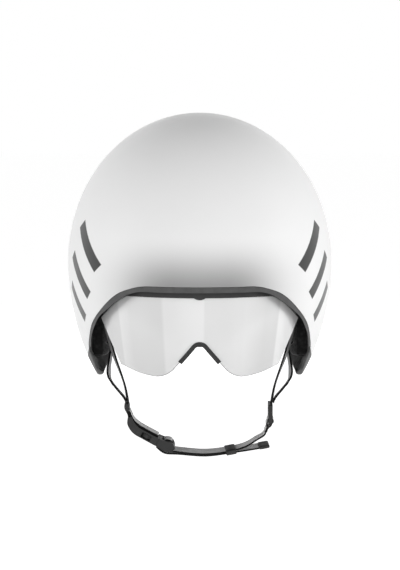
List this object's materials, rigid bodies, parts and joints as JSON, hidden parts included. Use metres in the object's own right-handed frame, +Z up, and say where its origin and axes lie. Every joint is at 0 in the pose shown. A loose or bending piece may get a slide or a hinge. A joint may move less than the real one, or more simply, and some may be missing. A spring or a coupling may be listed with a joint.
{
  "type": "aero time trial helmet",
  "caption": "Teardrop time trial helmet with a magnetic mirrored visor, foam liner, dial-adjusted rear cradle and a side-release chin strap.",
  "frame": {"origin": "between the two ears, where the wearer's head carries the helmet", "axes": "-Y the way the wearer looks, +X the wearer's left, +Z up"},
  "size_m": [0.2216, 0.3024, 0.28],
  "materials": {
    "white_shell": "satin",
    "foam": "matte, fine beads",
    "dark_trim": "matte, fine grain",
    "black_plastic": "matte",
    "mirror_lens": "silver mirror coating",
    "black_rubber": "matte",
    "magnet": "nickel",
    "pad_fabric": "knitted mesh",
    "webbing": "woven, dark edges",
    "buckle_plastic": "satin",
    "screw_steel": "satin"
  },
  "bodies": {
    "helmet": {"outer_shell": "white_shell", "eps_liner": "foam", "face_rim": "dark_trim", "neck_trim": "dark_trim", "tail_vent": "black_plastic", "brow_magnets": "magnet", "brow_pad": "pad_fabric", "crown_pad": "pad_fabric", "crown_pad_left": "pad_fabric", "crown_pad_right": "pad_fabric", "side_pad_left": "pad_fabric", "side_pad_right": "pad_fabric", "ear_pad_left": "pad_fabric", "ear_pad_right": "pad_fabric", "front_anchor_left": "black_plastic", "front_anchor_right": "black_plastic", "rear_anchor_left": "black_plastic", "rear_anchor_right": "black_plastic", "front_strap_left": "webbing", "front_strap_right": "webbing", "rear_strap_left": "webbing", "rear_strap_right": "webbing", "strap_join": "black_rubber", "outer_strand": "webbing", "inner_strand": "webbing", "buckle_socket": "buckle_plastic", "chin_strap": "webbing", "loose_end": "webbing", "end_cap": "black_plastic", "strap_adjuster": "buckle_plastic", "chin_loop": "webbing", "height_guide": "black_plastic"},
    "visor": {"visor_lens": "mirror_lens", "visor_carrier": "black_plastic", "nose_piece": "black_rubber", "visor_magnets": "magnet"},
    "cradle": {"temple_pins": "black_plastic", "cradle_arm_left": "black_plastic", "cradle_arm_right": "black_plastic", "dial_housing": "black_plastic", "housing_cover": "black_plastic", "housing_screws": "screw_steel", "nape_pads": "pad_fabric", "height_strip": "black_plastic"},
    "dial": {"dial_pinion": "black_plastic", "dial_knob": "black_rubber"},
    "rack_left": {"rack_left": "black_plastic"},
    "rack_right": {"rack_right": "black_plastic"},
    "buckle_plug": {"buckle_plug": "buckle_plastic"},
    "prong_rear": {"prong_rear": "buckle_plastic"},
    "prong_front": {"prong_front": "buckle_plastic"},
    "keeper": {"strap_keeper": "black_rubber"}
  },
  "joints": [
    {"name": "visor_detach", "type": "slide", "parent": "helmet", "child": "visor", "axis": [0, -1, 0], "range_m": [0, 0.12]},
    {"name": "cradle_tilt", "type": "hinge", "parent": "helmet", "child": "cradle", "pos_m": [0, -0.01, 0.036], "axis": [1, 0, 0], "range_deg": [-3.5, 3.5]},
    {"name": "dial_turn", "type": "hinge", "parent": "cradle", "child": "dial", "pos_m": [0, 0.094, -0.002], "axis": [0, -1, 0], "range_deg": [0, 180]},
    {"name": "rack_left_slide", "type": "slide", "parent": "cradle", "child": "rack_left", "axis": [-1, 0, 0], "range_m": [0, 0.0126], "deforming": ["cradle_arm_left"]},
    {"name": "rack_right_slide", "type": "slide", "parent": "cradle", "child": "rack_right", "axis": [1, 0, 0], "range_m": [0, 0.0126], "deforming": ["cradle_arm_right"]},
    {"name": "buckle_release", "type": "slide", "parent": "helmet", "child": "buckle_plug", "axis": [0.8746, 0, -0.4848], "range_m": [0, 0.022], "deforming": ["chin_strap", "loose_end", "prong_rear", "prong_front"]},
    {"name": "prong_rear_press", "type": "hinge", "parent": "buckle_plug", "child": "prong_rear", "pos_m": [-0.03399, -0.0378, -0.07333], "axis": [0.4848, 0, 0.8746], "range_deg": [0, 8.5], "stiffness_Nm_per_rad": 0.4},
    {"name": "prong_front_press", "type": "hinge", "parent": "buckle_plug", "child": "prong_front", "pos_m": [-0.03399, -0.0502, -0.07333], "axis": [-0.4848, 0, -0.8746], "range_deg": [0, 8.5], "stiffness_Nm_per_rad": 0.4},
    {"name": "keeper_slide", "type": "slide", "parent": "helmet", "child": "keeper", "axis": [0.9877, 0, 0.1564], "range_m": [-0.005, 0.002]}
  ],
  "couplings": [
    {"joint": "rack_left_slide", "follows": "dial_turn", "m_per_rad": 0.004},
    {"joint": "rack_right_slide", "follows": "dial_turn", "m_per_rad": 0.004}
  ]
}
